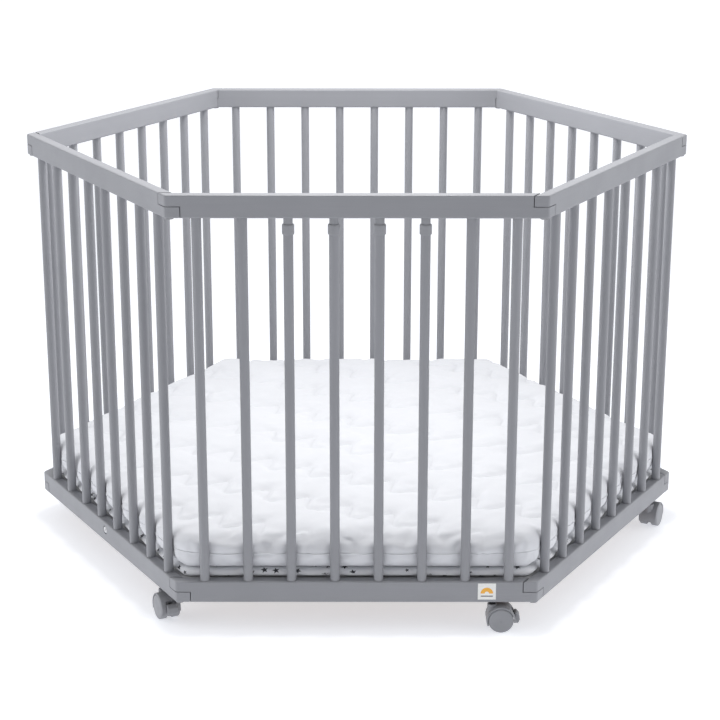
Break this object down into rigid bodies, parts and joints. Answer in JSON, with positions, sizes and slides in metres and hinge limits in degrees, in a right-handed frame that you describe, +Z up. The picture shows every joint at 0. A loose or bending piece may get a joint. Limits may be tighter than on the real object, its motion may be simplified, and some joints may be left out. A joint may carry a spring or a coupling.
{
  "type": "playpen",
  "caption": "Six-sided barred wooden playpen on braked swivel castors, with slip bars in the front side, a quilted mattress and a thin play mat inside.",
  "frame": {"origin": "on the floor, under the centre of the six-sided pen", "axes": "+X to the right across two opposite corners, +Y to the back across two flat sides, +Z up; the front side faces -Y"},
  "size_m": [1.1982, 1.0548, 0.742],
  "materials": {
    "painted_wood": "cool grey satin paint",
    "grey_plastic": "moulded satin grey",
    "steel": "zinc plated",
    "black_steel": "blackened",
    "hardboard": "thin board, pale grey coated face",
    "quilted_fabric": "white quilted jersey",
    "printed_fabric": "white cotton with small grey stars",
    "sticker": "printed paper sticker"
  },
  "bodies": {
    "root": {"top_rail_front": "painted_wood", "bottom_rail_front": "painted_wood", "bars_front": "painted_wood", "top_rail_front_right": "painted_wood", "bottom_rail_front_right": "painted_wood", "bars_front_right": "painted_wood", "top_rail_back_right": "painted_wood", "bottom_rail_back_right": "painted_wood", "bars_back_right": "painted_wood", "top_rail_back": "painted_wood", "bottom_rail_back": "painted_wood", "bars_back": "painted_wood", "top_rail_back_left": "painted_wood", "bottom_rail_back_left": "painted_wood", "bars_back_left": "painted_wood", "top_rail_front_left": "painted_wood", "bottom_rail_front_left": "painted_wood", "bars_front_left": "painted_wood", "slip_bar_1": "painted_wood", "slip_spring_1": "steel", "slip_bar_2": "painted_wood", "slip_spring_2": "steel", "slip_bar_3": "painted_wood", "slip_spring_3": "steel", "slip_bar_4": "painted_wood", "slip_spring_4": "steel", "corner_bolts": "steel", "corner_inserts": "steel", "base_board_left": "hardboard", "base_board_right": "hardboard", "base_ledges": "painted_wood", "ledge_screws": "steel", "support_beam": "painted_wood", "beam_bolts": "steel", "castor_stems": "black_steel", "label": "sticker"},
    "castor_front": {"castor_housing_front": "grey_plastic"},
    "wheels_front": {"castor_wheels_front": "grey_plastic"},
    "brake_front": {"castor_brake_front": "grey_plastic"},
    "castor_front_right": {"castor_housing_front_right": "grey_plastic"},
    "wheels_front_right": {"castor_wheels_front_right": "grey_plastic"},
    "brake_front_right": {"castor_brake_front_right": "grey_plastic"},
    "castor_back_right": {"castor_housing_back_right": "grey_plastic"},
    "wheels_back_right": {"castor_wheels_back_right": "grey_plastic"},
    "brake_back_right": {"castor_brake_back_right": "grey_plastic"},
    "castor_back": {"castor_housing_back": "grey_plastic"},
    "wheels_back": {"castor_wheels_back": "grey_plastic"},
    "brake_back": {"castor_brake_back": "grey_plastic"},
    "castor_back_left": {"castor_housing_back_left": "grey_plastic"},
    "wheels_back_left": {"castor_wheels_back_left": "grey_plastic"},
    "brake_back_left": {"castor_brake_back_left": "grey_plastic"},
    "castor_front_left": {"castor_housing_front_left": "grey_plastic"},
    "wheels_front_left": {"castor_wheels_front_left": "grey_plastic"},
    "brake_front_left": {"castor_brake_front_left": "grey_plastic"},
    "cap_1": {"slip_cap_1": "grey_plastic"},
    "cap_2": {"slip_cap_2": "grey_plastic"},
    "cap_3": {"slip_cap_3": "grey_plastic"},
    "cap_4": {"slip_cap_4": "grey_plastic"},
    "play_mat": {"play_mat": "printed_fabric"},
    "mattress": {"mattress": "quilted_fabric"}
  },
  "joints": [
    {"name": "swivel_front", "type": "hinge", "parent": "root", "child": "castor_front", "pos_m": [0.226, -0.50962, 0.0465], "axis": [0, 0, 1], "continuous": true},
    {"name": "wheel_front", "type": "hinge", "parent": "castor_front", "child": "wheels_front", "pos_m": [0.2404, -0.50962, 0.021], "axis": [0, 1, 0], "continuous": true},
    {"name": "brake_lever_front", "type": "hinge", "parent": "castor_front", "child": "brake_front", "pos_m": [0.2559, -0.50962, 0.026], "axis": [0, 1, 0], "range_deg": [0, 14]},
    {"name": "swivel_front_right", "type": "hinge", "parent": "root", "child": "castor_front_right", "pos_m": [0.55434, -0.05909, 0.0465], "axis": [0, 0, 1], "continuous": true},
    {"name": "wheel_front_right", "type": "hinge", "parent": "castor_front_right", "child": "wheels_front_right", "pos_m": [0.56065, -0.04614, 0.021], "axis": [-0.8988, 0.4384, 0], "continuous": true},
    {"name": "brake_lever_front_right", "type": "hinge", "parent": "castor_front_right", "child": "brake_front_right", "pos_m": [0.56745, -0.03221, 0.026], "axis": [-0.8988, 0.4384, 0], "range_deg": [0, 14]},
    {"name": "swivel_back_right", "type": "hinge", "parent": "root", "child": "castor_back_right", "pos_m": [0.32834, 0.45053, 0.0465], "axis": [0, 0, 1], "continuous": true},
    {"name": "wheel_back_right", "type": "hinge", "parent": "castor_back_right", "child": "wheels_back_right", "pos_m": [0.32158, 0.46324, 0.021], "axis": [-0.8829, -0.4695, 0], "continuous": true},
    {"name": "brake_lever_back_right", "type": "hinge", "parent": "castor_back_right", "child": "brake_back_right", "pos_m": [0.3143, 0.47693, 0.026], "axis": [-0.8829, -0.4695, 0], "range_deg": [0, 14]},
    {"name": "swivel_back", "type": "hinge", "parent": "root", "child": "castor_back", "pos_m": [-0.226, 0.50962, 0.0465], "axis": [0, 0, 1], "continuous": true},
    {"name": "wheel_back", "type": "hinge", "parent": "castor_back", "child": "wheels_back", "pos_m": [-0.2404, 0.50962, 0.021], "axis": [0, -1, 0], "continuous": true},
    {"name": "brake_lever_back", "type": "hinge", "parent": "castor_back", "child": "brake_back", "pos_m": [-0.2559, 0.50962, 0.026], "axis": [0, -1, 0], "range_deg": [0, 14]},
    {"name": "swivel_back_left", "type": "hinge", "parent": "root", "child": "castor_back_left", "pos_m": [-0.55434, 0.05909, 0.0465], "axis": [0, 0, 1], "continuous": true},
    {"name": "wheel_back_left", "type": "hinge", "parent": "castor_back_left", "child": "wheels_back_left", "pos_m": [-0.55061, 0.073, 0.021], "axis": [-0.9659, 0.2588, 0], "continuous": true},
    {"name": "brake_lever_back_left", "type": "hinge", "parent": "castor_back_left", "child": "brake_back_left", "pos_m": [-0.5466, 0.08797, 0.026], "axis": [-0.9659, 0.2588, 0], "range_deg": [0, 14]},
    {"name": "swivel_front_left", "type": "hinge", "parent": "root", "child": "castor_front_left", "pos_m": [-0.32834, -0.45053, 0.0465], "axis": [0, 0, 1], "continuous": true},
    {"name": "wheel_front_left", "type": "hinge", "parent": "castor_front_left", "child": "wheels_front_left", "pos_m": [-0.32203, -0.46347, 0.021], "axis": [0.8988, 0.4384, 0], "continuous": true},
    {"name": "brake_lever_front_left", "type": "hinge", "parent": "castor_front_left", "child": "brake_front_left", "pos_m": [-0.31523, -0.4774, 0.026], "axis": [0.8988, 0.4384, 0], "range_deg": [0, 14]},
    {"name": "cap_slide_1", "type": "slide", "parent": "root", "child": "cap_1", "axis": [0, 0, -1], "range_m": [0, 0.011], "stiffness_N_per_m": 600, "springref_m": -0.01, "deforming": ["slip_spring_1"]},
    {"name": "cap_slide_2", "type": "slide", "parent": "root", "child": "cap_2", "axis": [0, 0, -1], "range_m": [0, 0.011], "stiffness_N_per_m": 600, "springref_m": -0.01, "deforming": ["slip_spring_2"]},
    {"name": "cap_slide_3", "type": "slide", "parent": "root", "child": "cap_3", "axis": [0, 0, -1], "range_m": [0, 0.011], "stiffness_N_per_m": 600, "springref_m": -0.01, "deforming": ["slip_spring_3"]},
    {"name": "cap_slide_4", "type": "slide", "parent": "root", "child": "cap_4", "axis": [0, 0, -1], "range_m": [0, 0.011], "stiffness_N_per_m": 600, "springref_m": -0.01, "deforming": ["slip_spring_4"]},
    {"name": "mat_lift", "type": "slide", "parent": "root", "child": "play_mat", "axis": [0, 0, 1], "range_m": [0, 0.66]},
    {"name": "mattress_lift", "type": "slide", "parent": "play_mat", "child": "mattress", "axis": [0, 0, 1], "range_m": [0, 0.66]}
  ]
}
